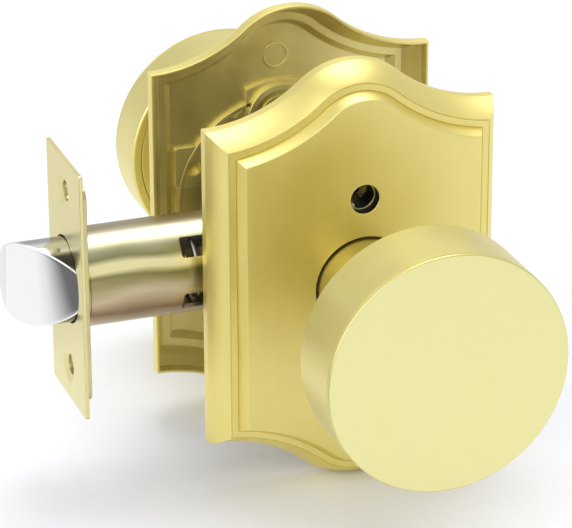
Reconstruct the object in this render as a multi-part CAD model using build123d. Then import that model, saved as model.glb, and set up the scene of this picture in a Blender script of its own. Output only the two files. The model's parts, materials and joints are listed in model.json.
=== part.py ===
from build123d import *
import math
import os

# Privacy door knob set: two drum knobs on arched, stepped rosettes, joined by a square
# spindle through a spring latch.  Millimetres, +Z up.
# The origin is where the spindle axis (Y) meets the middle plane of the door.
# -Y is the outside of the door, +Y the inside, -X the edge that the bolt leaves by.

# ---- driving dimensions -------------------------------------------------------------
DOOR = 35.0                 # door thickness, face to face
BACKSET = 60.0              # door edge to spindle axis
LATCH_Y = -3.3              # the latch rides on the spindle a little towards the outside
THROW = 12.7                # how far the bolt stands out, and how far it is drawn back
TURN = 76.0                 # knob turn, in degrees, that draws the bolt right back
FIT = 0.05                  # radial clearance of a turning fit
GAP = 0.3                   # clearance between pieces that move past each other

ROSETTE_W = 66.5            # straight sides, left to right
ROSETTE_CORNER_Z = 36.6     # height of the four corners above the axis
ROSETTE_PEAK_Z = 48.9       # height of the crown above the axis
CROWN_R = 17.0              # radius of the crown arc
BAND = 2.7                  # straight edge band next to the door
BEVEL = 5.9                 # depth of the wide bevel
BEVEL_IN = 3.2              # how far that bevel leans in
LEDGE = 1.85                # flat ledge between the two bevels
STEP = 2.7                  # depth of the small bevel up to the face
STEP_IN = 1.3               # how far the small bevel leans in
FACE = BAND + BEVEL + STEP  # rosette face above the door face
ROOF = 2.0                  # wall of the rosette face
UNDER = FACE - ROOF         # underside of that wall

KNOB_R = 26.5
OUTSIDE_DRUM = (42.9, 60.1)  # back and front of the outside drum above the door face
INSIDE_DRUM = (38.6, 52.3)  # the inside drum is shorter and stands nearer the door
KNOB_WALL = 2.2
NECK_R = 10.8
NECK_HOLE_R = 11.2
SPINDLE = 7.0               # square bar, across flats
SPINDLE_END = 30.5          # end of the bar above each door face
BUTTON_Z = 20.0             # privacy button and release hole above the axis
RELEASE_R = 3.3
BUTTON_R = 4.0
BUTTON_TRAVEL = 3.0
ROD_R = 1.5
BOLT_X = 21.0               # the two through bolts beside the axis
BOLT_Z = -9.6               # and below it; a blind pair above lets the set change hands
POST_R = 2.75
PLATE_R = 18.8              # spring cover plate
PLATE_SCREW_R = 20.6
PLATE_SCREW_ANGLES = (50.0, 240.0, 300.0)
COLLAR_R = 13.8
COLLAR_DEEP = 4.0
CAM_R = 17.4
TONGUE_W = 3.0

FACEPLATE_H = 57.15
FACEPLATE_W = 25.4
FACEPLATE_T = 0.9
FACEPLATE_HOLES = 41.3      # spacing of the two screw holes
SCREW_HOLE_R = 2.3
SCREW_HEAD_R = 4.1
BACKPLATE_H = 50.0
BACKPLATE_W = 23.6
BACKPLATE_T = 1.0
TUBE_R = 11.0
TUBE_WALL = 1.0
TUBE_END = -25.6            # inner end of the latch tube
BOLT_R = 9.5
BOLT_REAR = -54.6
DISC_T = 1.4
CASE_Y = 4.3                # inner face of each side plate from the latch plane
CASE_T = 1.2
CASE_Z = 11.2
NECK_Z = 6.4
BARREL_R = 6.0
ARM_R = THROW / (2 * math.sin(math.radians(TURN / 2)))
ARM_TIP = 0.9
TAIL_R = 1.5
TAIL_HEAD_R = 2.5
BRIDGE_X = -41.5            # front face of the retractor's bridge
BRIDGE_T = 1.3

tube_start = -BACKSET + FACEPLATE_T
disc_x = TUBE_END - DISC_T
flank_x = ROSETTE_W / 2
crown_z = ROSETTE_PEAK_Z - CROWN_R
rise = ROSETTE_CORNER_Z - crown_z
flank_r = (flank_x**2 + rise**2 - CROWN_R**2) / (2 * (CROWN_R - rise))
flank_z = ROSETTE_CORNER_Z + flank_r


# ---- small helpers ------------------------------------------------------------------
def cyl_y(radius, low, high, x=0.0, z=0.0):
    """A cylinder along Y between two heights."""
    return Pos(x, (low + high) / 2, z) * Rot(90, 0, 0) * Cylinder(radius, high - low)


def cyl_x(radius, low, high, y=0.0, z=0.0):
    """A cylinder along X between two places."""
    return Pos((low + high) / 2, y, z) * Rot(0, 90, 0) * Cylinder(radius, high - low)


def ring_y(outer, inner, low, high, x=0.0, z=0.0):
    """A plain ring along Y."""
    return cyl_y(outer, low, high, x, z) - cyl_y(inner, low - 1, high + 1, x, z)


def block(x0, x1, y0, y1, z0, z1):
    """A box given by its two opposite corners."""
    centre = ((x0 + x1) / 2, (y0 + y1) / 2, (z0 + z1) / 2)
    return Pos(*centre) * Box(x1 - x0, y1 - y0, z1 - z0)


def slab_xz(points, y0, y1):
    """A flat plate along Y whose outline is a polygon in X and Z."""
    outline = make_face(Polyline([(x, y0, z) for x, z in points], close=True))
    return extrude(outline, amount=y1 - y0, dir=(0, 1, 0))


def inside(shape):
    """Carry a piece from the door-face frame to the inside face of the door."""
    return Pos(0, DOOR / 2, 0) * shape


def outside(shape):
    """Carry a piece from the door-face frame to the outside face of the door."""
    return Rot(0, 0, 180) * Pos(0, DOOR / 2, 0) * shape


def latch(shape):
    """Carry a piece from the latch's own plane to where the latch sits."""
    return Pos(0, LATCH_Y, 0) * shape


def save(shape, name):
    export_step(shape, f"parts/{name}.step")


# ---- rosettes -----------------------------------------------------------------------
def outline(inset, height):
    """The rosette outline, drawn in by an inset: crown, hollow flanks, straight sides."""
    half = flank_x - inset
    crown = CROWN_R - inset
    flank = flank_r + inset
    corner = flank_z - math.sqrt(flank**2 - inset**2)
    lean = math.atan2(flank_z - crown_z, flank_x)
    tangent = (crown * math.cos(lean), crown_z + crown * math.sin(lean))
    low = math.atan2(corner - flank_z, -inset) if inset else -math.pi / 2
    middle = (low % (2 * math.pi) + lean + math.pi) / 2
    belly = (flank_x + flank * math.cos(middle), flank_z + flank * math.sin(middle))

    def at(x, z):
        return (x, height, z)

    edges = []
    for up in (1, -1):
        peak = at(0, up * (crown_z + crown))
        for side in (1, -1):
            start = at(side * half, up * corner)
            join = at(side * tangent[0], up * tangent[1])
            edges.append(ThreePointArc(start, at(side * belly[0], up * belly[1]), join))
        edges.append(ThreePointArc(at(tangent[0], up * tangent[1]), peak, at(-tangent[0], up * tangent[1])))
    for side in (1, -1):
        edges.append(Line(at(side * half, corner), at(side * half, -corner)))
    return Wire(edges)


def frustum(inset0, height0, inset1, height1):
    """The solid between two outlines."""
    return Solid.make_loft([outline(inset0, height0), outline(inset1, height1)], ruled=True)


def rosette_shell():
    """The stepped, hollow casting, open towards the door."""
    ledge_z = BAND + BEVEL
    outer = frustum(0, 0, 0, BAND) + frustum(0, BAND, BEVEL_IN, ledge_z)
    outer += frustum(BEVEL_IN + LEDGE, ledge_z, BEVEL_IN + LEDGE + STEP_IN, FACE)
    hollow = frustum(0.6, -0.5, 0.9, 2.4) + frustum(0.9, 2.4, 3.7, 7.4)
    hollow += frustum(5.5, 7.3, 6.9, UNDER)
    return outer - hollow


def rosette_casting():
    """Shell with its bearing collar, plate pillars, rib ring, bolt pads and button boss."""
    body = rosette_shell()
    body += ring_y(COLLAR_R, NECK_HOLE_R, UNDER - COLLAR_DEEP, UNDER)
    body += ring_y(25.2, 24.0, UNDER - 1.0, UNDER)
    body += ring_y(3.1, 2.5, UNDER - 0.3, UNDER, -0.7, 34.3)
    for side in (1, -1):
        for z0, z1 in ((5.0, 15.0), (-15.0, -5.0)):
            left, right = sorted((side * (BOLT_X - 4.5), side * (BOLT_X + 4.5)))
            body += block(left, right, UNDER - 0.9, UNDER, z0, z1)
        body -= cyl_y(1.9, 0, UNDER + 0.6, side * BOLT_X, -BOLT_Z)
    for angle in PLATE_SCREW_ANGLES:
        x = PLATE_SCREW_R * math.cos(math.radians(angle))
        z = PLATE_SCREW_R * math.sin(math.radians(angle))
        body += cyl_y(2.6, 1.8, UNDER, x, z)
        body -= cyl_y(1.2, 1.0, 7.5, x, z)
    body += cyl_y(8.0, UNDER - 2.2, UNDER, 0, BUTTON_Z)
    skirt = block(-8.3, 8.3, UNDER - 1.0, UNDER, BUTTON_Z, 29.5)
    body += skirt & cyl_y(20.0, UNDER - 2.0, UNDER + 1.0, 0, 8.9)
    body -= cyl_y(NECK_HOLE_R, 0, FACE + 1)
    body -= ring_y(NECK_HOLE_R + 1.2, NECK_HOLE_R - 1, UNDER - COLLAR_DEEP - 1, UNDER - 0.2)
    body -= cyl_y(6.6, 0, UNDER - 0.2, 0, BUTTON_Z)
    return body


def outside_rosette():
    """Blind bolt sockets and the small release hole."""
    body = rosette_casting() - cyl_y(RELEASE_R, 0, FACE + 1, 0, BUTTON_Z)
    for side in (1, -1):
        body -= cyl_y(POST_R, 0, UNDER, side * BOLT_X, BOLT_Z)
    return body


def inside_rosette():
    """Countersunk bolt holes and the hole of the privacy button."""
    body = rosette_casting() - cyl_y(BUTTON_R + 1.1, 0, FACE + 1, 0, BUTTON_Z)
    for side in (1, -1):
        body -= cyl_y(2.3, 0, FACE + 1, side * BOLT_X, BOLT_Z)
        body -= Pos(side * BOLT_X, FACE - 0.9, BOLT_Z) * Rot(-90, 0, 0) * Cone(2.3, 4.1, 1.8)
    return body


# ---- knob side ----------------------------------------------------------------------
def knob_cup(back, front):
    """The drum: a turned cup with a rounded front edge, open at the back."""
    drum = cyl_y(KNOB_R, back, front)
    drum = fillet(drum.edges().filter_by(GeomType.CIRCLE), 0.8)
    drum -= cyl_y(KNOB_R - KNOB_WALL, back - 1, front - 3.0)
    return drum + ring_y(13.0, NECK_R + 0.02, front - 8.0, front - 3.0)


def knob_back(back):
    """The disc that closes the back of the drum around the neck."""
    disc = ring_y(KNOB_R - KNOB_WALL - 0.05, NECK_R + 0.02, back + 0.3, back + 2.1)
    return disc + ring_y(13.0, NECK_R + 0.02, back + 2.0, back + 5.0)


def knob_neck(front):
    """The turned neck: hollow in front, a socket for the spindle, a seat for the cam."""
    neck = cyl_y(NECK_R, 3.6, front - 3.2) + cyl_y(9.6, 2.0, 3.7)
    neck -= cyl_y(NECK_R - 2.0, SPINDLE_END + 2.0, front)
    neck -= block(-3.55, 3.55, 0, SPINDLE_END + 1, -3.55, 3.55)
    return neck - ring_y(NECK_R + 1, 10.0, 3.7, 4.7)


def retaining_ring():
    """The open ring that snaps into the neck's groove behind the bush."""
    ring = ring_y(13.4, 10.02, 3.75, 4.65)
    return ring - block(-3.0, 3.0, 0, 8, -14, 0)


def neck_bush():
    """The plain bearing pressed into the casting's collar."""
    return ring_y(NECK_HOLE_R + 1.2, NECK_R + FIT, UNDER - COLLAR_DEEP - 0.3, UNDER - 0.3)


def cam_plate():
    """The notched plate that drives the return spring and takes the locking tongue."""
    cam = ring_y(CAM_R - 2.2, 9.62, 2.2, 3.4) + cyl_y(CAM_R, 2.2, 3.4)
    cam -= cyl_y(9.62, 0, 5)
    for turn in (-TURN, 0.0, TURN):
        slot = block(-TONGUE_W / 2 - 0.4, TONGUE_W / 2 + 0.4, 1.0, 4.5, CAM_R - 2.6, CAM_R + 1)
        cam -= Rot(0, turn, 0) * slot
    finger = block(-1.5, 1.5, 3.3, 6.6, -16.4, -15.3)
    return cam + finger


def return_spring():
    """Torsion spring wound around the collar."""
    wire = 0.5
    mean = COLLAR_R + 0.7
    helix = Helix(pitch=1.3, height=2.2, radius=mean)
    coil = sweep(Plane(helix @ 0, z_dir=helix % 0) * Circle(wire), path=helix, is_frenet=True)
    return Pos(0, 4.35, 0) * Rot(-90, 0, 0) * coil


def cover_plate():
    """The plate that closes the spring space, with three screw ears and one by the rod."""
    plate = cyl_y(PLATE_R, 0.6, 1.8) + block(-7.0, 7.0, 0.6, 1.8, 12.0, 21.8)
    for angle in PLATE_SCREW_ANGLES:
        x = PLATE_SCREW_R * math.cos(math.radians(angle))
        z = PLATE_SCREW_R * math.sin(math.radians(angle))
        plate += cyl_y(2.9, 0.6, 1.8, x, z)
        plate -= cyl_y(1.5, 0, 3, x, z)
    plate -= cyl_y(8.0, 0, 3)
    plate -= cyl_y(ROD_R + 1.2, 0, 3, 0, BUTTON_Z)
    return plate - block(-ROD_R - 1.2, ROD_R + 1.2, 0, 3, BUTTON_Z, PLATE_R + 4)


def plate_screws():
    """Three pan head screws that hold the cover plate to the casting's pillars."""
    screws = []
    for angle in PLATE_SCREW_ANGLES:
        x = PLATE_SCREW_R * math.cos(math.radians(angle))
        z = PLATE_SCREW_R * math.sin(math.radians(angle))
        screw = cyl_y(1.18, 0.5, 7.2, x, z) + cyl_y(2.4, -0.9, 0.6, x, z)
        screw -= block(x - 0.3, x + 0.3, -1.0, -0.4, z - 1.6, z + 1.6)
        screw -= block(x - 1.6, x + 1.6, -1.0, -0.4, z - 0.3, z + 0.3)
        screws.append(screw)
    return Compound(screws)


def grub_screw():
    """Socket screw that clamps the inside neck to the spindle."""
    low = SPINDLE / 2
    screw = Pos(0, 18.0, -(low + 3.4)) * Cylinder(2.0, 6.8)
    return screw - Pos(0, 18.0, -(low + 6.0)) * extrude(RegularPolygon(1.1, 6), 1.2, both=True)


def inside_neck():
    """The inside neck also has the tapped hole of the grub screw."""
    return knob_neck(INSIDE_DRUM[1]) - Pos(0, 18.0, -7.5) * Cylinder(2.0, 9.0)


# ---- fixings and privacy lock -------------------------------------------------------
def posts():
    """Two tapped posts standing in the outside rosette."""
    both = []
    for side in (1, -1):
        x = side * BOLT_X
        post = cyl_y(POST_R, -26.0, UNDER, x, BOLT_Z) - cyl_y(2.0, -27.0, -8.0, x, BOLT_Z)
        both.append(post)
    return Compound(both)


def through_bolts():
    """Two countersunk bolts from the inside face into the posts."""
    both = []
    for side in (1, -1):
        bolt = cyl_y(1.98, -21.0, FACE - 1.6, side * BOLT_X, BOLT_Z)
        head = Pos(side * BOLT_X, FACE - 0.95, BOLT_Z) * Rot(-90, 0, 0) * Cone(2.0, 4.0, 1.7)
        bolt += head
        for turn in (0, 90):
            slot = Rot(0, turn, 0) * Box(4.2, 1.4, 0.8)
            bolt -= Pos(side * BOLT_X, FACE - 0.3, BOLT_Z) * slot
        both.append(bolt)
    return Compound(both)


def release_guide():
    """The eyelet behind the release hole that leads a pin to the privacy rod."""
    guide = ring_y(6.5, 2.9, UNDER - 1.2, UNDER - 0.25, 0.0, BUTTON_Z)
    return guide + ring_y(3.6, 2.9, UNDER - 5.0, UNDER - 1.0, 0.0, BUTTON_Z)


def button_guide():
    """The flanged sleeve that the privacy button slides in."""
    sleeve = ring_y(BUTTON_R + 1.05, BUTTON_R + FIT, UNDER - 2.0, FACE + 0.8, 0, BUTTON_Z)
    return sleeve + ring_y(6.5, BUTTON_R + FIT, UNDER - 1.6, UNDER - 0.25, 0, BUTTON_Z)


def privacy_button():
    """A round push button with a rounded end."""
    button = cyl_y(BUTTON_R, UNDER + 1.0, FACE + 5.2, 0, BUTTON_Z)
    rim = button.edges().filter_by(GeomType.CIRCLE).sort_by(Axis.Y)[-1]
    button = fillet(rim, 1.2)
    return button - cyl_y(ROD_R, UNDER, UNDER + 3.5, 0, BUTTON_Z)


def privacy_rod():
    """The long rod from the button to the release eyelet of the outside rosette."""
    return cyl_y(ROD_R, -DOOR - 4.0, UNDER + 3.5, 0, BUTTON_Z)


def lock_tongue():
    """The steel tongue on the rod that drops into the cam's notch."""
    tongue = block(-TONGUE_W / 2, TONGUE_W / 2, 5.3, 6.5, CAM_R - 1.6, BUTTON_Z + 1)
    tongue += cyl_y(2.7, 5.3, 6.5, 0, BUTTON_Z)
    return tongue - cyl_y(ROD_R, 4, 8, 0, BUTTON_Z)


def detent_clip():
    """The leaf on the cover plate that presses on the rod and holds the button in or out."""
    clip = block(ROD_R + 0.1, ROD_R + 0.5, -5.0, 0.6, BUTTON_Z - 1.4, BUTTON_Z + 1.4)
    return clip + block(ROD_R + 0.1, 6.4, 0.2, 0.6, BUTTON_Z - 1.4, BUTTON_Z + 1.4)


def spindle():
    """The square bar that both necks and the latch hub ride on."""
    end = DOOR / 2 + SPINDLE_END
    return Box(SPINDLE, 2 * end, SPINDLE)


# ---- latch --------------------------------------------------------------------------
def faceplate():
    """The thin front plate, with two countersunk screw holes and the bolt hole."""
    x0 = -BACKSET
    half_w = FACEPLATE_W / 2
    plate = block(x0, x0 + FACEPLATE_T, -half_w, half_w, -FACEPLATE_H / 2, FACEPLATE_H / 2)
    plate = fillet(plate.edges().filter_by(Axis.X), 0.6)
    plate -= cyl_x(BOLT_R + GAP, x0 - 1, x0 + 3)
    for side in (1, -1):
        z = side * FACEPLATE_HOLES / 2
        plate -= cyl_x(SCREW_HOLE_R, x0 - 1, x0 + 3, 0, z)
        sink = Cone(SCREW_HEAD_R, SCREW_HOLE_R, 0.6)
        plate -= Pos(x0 + 0.299, 0, z) * Rot(0, 90, 0) * sink
    return plate


def back_plate():
    """The stiffer plate behind it, a little smaller, with rounded corners."""
    x0 = -BACKSET + FACEPLATE_T
    half_w = BACKPLATE_W / 2
    plate = block(x0, x0 + BACKPLATE_T, -half_w, half_w, -BACKPLATE_H / 2, BACKPLATE_H / 2)
    plate = fillet(plate.edges().filter_by(Axis.X), 2.5)
    plate -= cyl_x(TUBE_R, x0 - 1, x0 + 4)
    for side in (1, -1):
        plate -= cyl_x(SCREW_HOLE_R, x0 - 1, x0 + 4, 0, side * FACEPLATE_HOLES / 2)
    return plate


def latch_tube():
    """The round tube, with windows pressed through its wall near the inner end."""
    tube = cyl_x(TUBE_R, tube_start, TUBE_END) - cyl_x(TUBE_R - TUBE_WALL, -BACKSET, 0)
    for angle in (41.0, -28.0, 139.0, 208.0):
        window = block(-36.3, -29.5, -TUBE_R - 1, -TUBE_R + 3, -2.4, 2.4)
        tube -= Rot(-angle, 0, 0) * window
    return tube


def end_disc():
    """The disc crimped into the tube: spring seat, and front tie of the side plates."""
    disc = cyl_x(TUBE_R - TUBE_WALL - 0.02, disc_x, TUBE_END)
    disc -= block(disc_x - 1, TUBE_END + 1, -1.8, 1.8, -6.8, 6.8)
    disc -= cyl_x(TAIL_HEAD_R + 0.6, disc_x - 1, TUBE_END + 1)
    for side in (1, -1):
        low, high = sorted((side * CASE_Y, side * (CASE_Y + CASE_T)))
        disc -= block(disc_x - 1, TUBE_END + 1, low, high, -4.0, 4.0)
    return disc


def side_plate(side):
    """One side plate of the hub case, with the hub's bearing hole."""
    upper = [(disc_x, 4.0), (TUBE_END, 4.0), (TUBE_END, NECK_Z), (-17.3, NECK_Z),
             (-14.0, CASE_Z), (11.5, CASE_Z), (15.0, 7.5)]
    points = upper + [(x, -z) for x, z in reversed(upper)]
    low, high = sorted((side * CASE_Y, side * (CASE_Y + CASE_T)))
    plate = slab_xz(points, low, high) - cyl_y(BARREL_R + FIT, low - 1, high + 1)
    for up in (1, -1):
        plate -= cyl_y(0.9, low - 1, high + 1, 12.6, up * 5.0)
    return plate


def case_rivets():
    """Two shouldered rivets that tie the side plates behind the hub."""
    rivets = []
    reach = CASE_Y + CASE_T + 0.5
    for up in (1, -1):
        rivet = cyl_y(1.4, -CASE_Y, CASE_Y, 12.6, up * 5.0) + cyl_y(0.9, -reach, reach, 12.6, up * 5.0)
        for side in (1, -1):
            low, high = sorted((side * (CASE_Y + CASE_T), side * reach))
            rivet += cyl_y(1.5, low, high, 12.6, up * 5.0)
        rivets.append(rivet)
    return Compound(rivets)


def latch_bolt():
    """The round bolt with its rounded, slanted striking face, bored for the tail."""
    tip = -BACKSET - THROW
    heel = (-BACKSET + 2.4, -BOLT_R)
    nose = (tip, 5.6)
    crest = ((tip + heel[0]) / 2 - 1.5, (heel[1] + nose[1]) / 2 - 1.2)
    slant = ThreePointArc((heel[0], heel[1], 0), (crest[0], crest[1], 0), (nose[0], nose[1], 0))
    rest = Polyline((nose[0], nose[1], 0), (tip, BOLT_R, 0), (BOLT_REAR, BOLT_R, 0),
                    (BOLT_REAR, -BOLT_R, 0), (heel[0], heel[1], 0))
    profile = extrude(make_face([slant, rest]), amount=BOLT_R + 1, both=True)
    bolt = profile & cyl_x(BOLT_R, tip, BOLT_REAR)
    return bolt - cyl_x(TAIL_R, -66.0, BOLT_REAR + 1)


def bolt_tail():
    """The pull rod, headed behind the retractor's bridge."""
    end = BRIDGE_X + BRIDGE_T + GAP
    return cyl_x(TAIL_R, -66.0, end + 1) + cyl_x(TAIL_HEAD_R, end, end + 1.6)


def bolt_spring():
    """Compression spring between the bolt's rear and the end disc."""
    length = disc_x - BOLT_REAR - 1.2
    helix = Helix(pitch=length / 7, height=length, radius=8.6)
    coil = sweep(Plane(helix @ 0, z_dir=helix % 0) * Circle(0.5), path=helix, is_frenet=True)
    return Pos(BOLT_REAR + 0.6, 0, 0) * Rot(0, 90, 0) * coil


def retractor():
    """The sliding fork: a bridge around the tail, two bars, and a tab on each for an arm."""
    bridge = block(BRIDGE_X, BRIDGE_X + BRIDGE_T, -3.6, 3.6, -6.3, 6.3)
    bridge -= cyl_x(TAIL_R + 0.4, BRIDGE_X - 1, BRIDGE_X + 3)
    tab_x = -THROW / 2 + ARM_TIP + 0.5
    bar = [(BRIDGE_X, 3.8), (-19.2, 3.8), (-17.4, 4.9), (-15.2, 6.3), (-13.2, 6.8), (tab_x + 2, 6.8),
           (tab_x + 2, 10.9), (-14.0, 10.9), (-17.6, 6.3), (BRIDGE_X, 6.3)]
    fork = bridge
    for up in (1, -1):
        fork += slab_xz([(x, up * z) for x, z in bar], -1.4, 1.4)
        low, high = sorted((up * 8.5, up * 10.9))
        fork += block(tab_x, tab_x + 2, -3.4, 3.4, low, high)
    return fork


def hub():
    """The barrel with its square hole and two pairs of arms leaning towards the bolt."""
    body = cyl_y(BARREL_R, -CASE_Y - CASE_T - 0.1, CASE_Y + CASE_T + 0.1)
    for up in (1, -1):
        lean = -TURN / 2 if up > 0 else 180 + TURN / 2
        for side in (1, -1):
            low, high = sorted((side * 2.0, side * 3.4))
            arm = block(-0.85, 0.85, low, high, 0, ARM_R) + cyl_y(ARM_TIP, low, high, 0, ARM_R)
            body += Rot(0, lean, 0) * arm
    half = SPINDLE / 2 + 0.03
    return body - block(-half, half, -10, 10, -half, half)


# ---- write the parts ----------------------------------------------------------------
os.makedirs("parts", exist_ok=True)

save(outside(outside_rosette()), "outside_rosette")
save(inside(inside_rosette()), "inside_rosette")
for label, carry, drum in (("outside", outside, OUTSIDE_DRUM), ("inside", inside, INSIDE_DRUM)):
    save(carry(knob_cup(*drum)), f"{label}_knob")
    save(carry(knob_back(drum[0])), f"{label}_knob_back")
    save(carry(retaining_ring()), f"{label}_retaining_ring")
    save(carry(neck_bush()), f"{label}_neck_bush")
    save(carry(cam_plate()), f"{label}_cam_plate")
    save(carry(return_spring()), f"{label}_return_spring")
    save(carry(cover_plate()), f"{label}_cover_plate")
    save(carry(plate_screws()), f"{label}_plate_screws")
save(outside(knob_neck(OUTSIDE_DRUM[1])), "outside_knob_neck")
save(inside(inside_neck()), "inside_knob_neck")
save(inside(grub_screw()), "inside_grub_screw")
save(outside(posts()), "threaded_posts")
save(inside(through_bolts()), "through_bolts")
save(outside(release_guide()), "release_guide")
save(inside(button_guide()), "button_guide")
save(inside(privacy_button()), "privacy_button")
save(inside(privacy_rod()), "privacy_rod")
save(inside(lock_tongue()), "lock_tongue")
save(inside(detent_clip()), "detent_clip")
save(spindle(), "spindle")
save(latch(faceplate()), "latch_faceplate")
save(latch(back_plate()), "latch_back_plate")
save(latch(latch_tube()), "latch_tube")
save(latch(end_disc()), "latch_end_disc")
save(latch(side_plate(-1)), "latch_case_outer")
save(latch(side_plate(1)), "latch_case_inner")
save(latch(case_rivets()), "latch_case_rivets")
save(latch(latch_bolt()), "latch_bolt")
save(latch(bolt_tail()), "bolt_tail")
save(latch(bolt_spring()), "bolt_spring")
save(latch(retractor()), "latch_retractor")
save(latch(hub()), "latch_hub")
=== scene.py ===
import json
import math

import bmesh
import bpy
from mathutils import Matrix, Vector
from mathutils.geometry import delaunay_2d_cdt


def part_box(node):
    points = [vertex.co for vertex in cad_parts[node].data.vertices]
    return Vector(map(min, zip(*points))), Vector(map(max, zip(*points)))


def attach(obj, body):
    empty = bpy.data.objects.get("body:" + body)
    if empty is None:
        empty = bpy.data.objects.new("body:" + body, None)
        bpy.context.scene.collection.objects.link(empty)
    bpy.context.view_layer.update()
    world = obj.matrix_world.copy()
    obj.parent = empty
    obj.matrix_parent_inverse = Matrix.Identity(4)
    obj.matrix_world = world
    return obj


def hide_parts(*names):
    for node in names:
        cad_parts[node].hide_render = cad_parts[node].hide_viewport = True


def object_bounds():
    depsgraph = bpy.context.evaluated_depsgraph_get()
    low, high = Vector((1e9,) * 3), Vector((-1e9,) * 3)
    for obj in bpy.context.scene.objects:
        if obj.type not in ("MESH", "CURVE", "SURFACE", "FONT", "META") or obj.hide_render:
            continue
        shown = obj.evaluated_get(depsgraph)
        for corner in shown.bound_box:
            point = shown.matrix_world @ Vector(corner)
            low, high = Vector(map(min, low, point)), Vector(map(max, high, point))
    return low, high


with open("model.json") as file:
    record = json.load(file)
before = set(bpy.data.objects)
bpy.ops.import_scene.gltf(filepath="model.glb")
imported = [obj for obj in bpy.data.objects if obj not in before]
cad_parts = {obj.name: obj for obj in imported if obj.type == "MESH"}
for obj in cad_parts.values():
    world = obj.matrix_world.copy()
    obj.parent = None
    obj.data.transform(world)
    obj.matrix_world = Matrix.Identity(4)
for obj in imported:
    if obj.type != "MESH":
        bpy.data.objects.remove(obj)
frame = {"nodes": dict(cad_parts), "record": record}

# Looks of the privacy door knob set.  Lengths are millimetres until a piece is made, when
# they become metres.  Each side of the door has a frame (x, s, z), where s is the height
# above the door's face.  The latch has a frame (u, s, v), where s runs out of the door's
# edge and u and v are measured from the latch's axis.

MM = 0.001
X, Y, Z = 0, 1, 2
cad_low, cad_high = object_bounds()


def span(node, axis):
    """Where a CAD node starts and ends along an axis."""
    low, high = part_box(node)
    return low[axis] / MM, high[axis] / MM


# rosette: a crowned outline, then band, swelled bevel, ledge and step up to the face
HALF_DOOR, face_at = span("inside_rosette", Y)
FACE = face_at - HALF_DOOR
FLANK_X = span("inside_rosette", X)[1]
PEAK_Z = span("inside_rosette", Z)[1]
CORNER_Z = 36.6
CROWN_R = 17.0
BAND = 2.7
BEVEL = 5.9
BEVEL_IN = 3.2
BEVEL_BULGE = 0.35
LEDGE = 1.85
STEP_IN = 1.3
ROOF = 2.0
UNDER = FACE - ROOF

# the flanks are arcs that meet the crown without a corner
CROWN_Z = PEAK_Z - CROWN_R
RISE = CORNER_Z - CROWN_Z
FLANK_R = (FLANK_X**2 + RISE**2 - CROWN_R**2) / (2 * (CROWN_R - RISE))
FLANK_Z = CORNER_Z + FLANK_R

# holes, and what stands inside the casting
NECK_HOLE_R = 11.2
NECK_R = span("outside_knob_neck", X)[1]
BUSH_SEAT_R = NECK_HOLE_R + 1.2
COLLAR_R = 13.8
COLLAR_LOW = 5.3
RIB_R = 25.2
RIB_T = 1.2
LOCK_Z = 20.0
LOCK_HOLE_R = {"outside": 3.3, "inside": span("privacy_button", X)[1] + 1.1}
LOCK_SEAT_R = 6.6
BOSS_R = 8.0
BOLT_X = 21.0
BOLT_Z = -9.6
BOLT_HOLE_R = 2.3
POST_SEAT_R = 2.75
BLIND_HOLE_R = 1.9
PAD_Z = 10.0
PAD_W = 9.0
PAD_H = 10.0
PILLAR_R = 2.6
PILLAR_AT_R = 20.6
PILLAR_ANGLES = (50.0, 240.0, 300.0)
EJECTOR_R = 3.1
EJECTOR_AT = (-0.7, 34.3)

# knobs and necks
KNOB_R = span("outside_knob", X)[1]
KNOB_WALL = 2.2
KNOB_FACE_T = 3.0
HUB_R = 13.0
NECK_LOW = 2.0
CAM_SEAT_R = 9.6
CAM_SEAT_TOP = 3.7
RING_SEAT_R = 10.0
RING_SEAT_TOP = 4.7
SOCKET_HALF = 3.55
SOCKET_END = 31.5
HOLLOW_END = 32.5
NECK_GAP = 0.2
FIT = 0.02

# latch
LATCH_Y = sum(corner.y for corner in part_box("latch_tube")) / 2 / MM
PLATE_X, faceplate_back = span("latch_faceplate", X)
FACEPLATE_T = faceplate_back - PLATE_X
FACEPLATE_H = 2 * span("latch_faceplate", Z)[1]
FACEPLATE_W = 25.4
BACKPLATE_T = span("latch_back_plate", X)[1] - PLATE_X - FACEPLATE_T
BACKPLATE_H = 2 * span("latch_back_plate", Z)[1]
BACKPLATE_W = 23.6
PLATE_EDGE = 0.16
SCREW_SPACING = 41.3
SCREW_HOLE_R = 2.3
SCREW_HEAD_R = 4.1
TUBE_R = 11.0
TUBE_WALL = 1.0
TUBE_START, TUBE_END = span("latch_tube", X)
WINDOW_ANGLES = (41.0, -28.0, 139.0, 208.0)
WINDOW_S = 32.9
WINDOW_W = 4.8
WINDOW_L = 6.8
BOLT_R = 9.5
BOLT_TIP, BOLT_REAR = span("latch_bolt", X)
BOLT_TIP_U = 5.6
BOLT_HEEL = 2.4
BOLT_SOFT = 0.35
TAIL_HOLE_R = 1.5
TAIL_HOLE_END = 66.0

CREASE = 32.0


# ---- materials ----------------------------------------------------------------------
def add(tree, kind, settings=None, inputs=None):
    """A node with its settings and with fixed or linked inputs."""
    made = tree.nodes.new(kind)
    for name, value in (settings or {}).items():
        setattr(made, name, value)
    for name, value in (inputs or {}).items():
        if isinstance(value, bpy.types.NodeSocket):
            tree.links.new(value, made.inputs[name])
        else:
            made.inputs[name].default_value = value
    return made


def math_node(tree, operation, *values):
    return add(tree, "ShaderNodeMath", {"operation": operation}, dict(enumerate(values))).outputs[0]


def ramp(tree, factor, stops):
    """A colour ramp from (position, colour) stops."""
    made = add(tree, "ShaderNodeValToRGB", inputs={"Fac": factor})
    elements = made.color_ramp.elements
    while len(elements) < len(stops):
        elements.new(0.5)
    for element, (position, colour) in zip(elements, stops):
        element.position = position
        element.color = (*colour, 1.0)
    return made.outputs["Color"]


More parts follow.
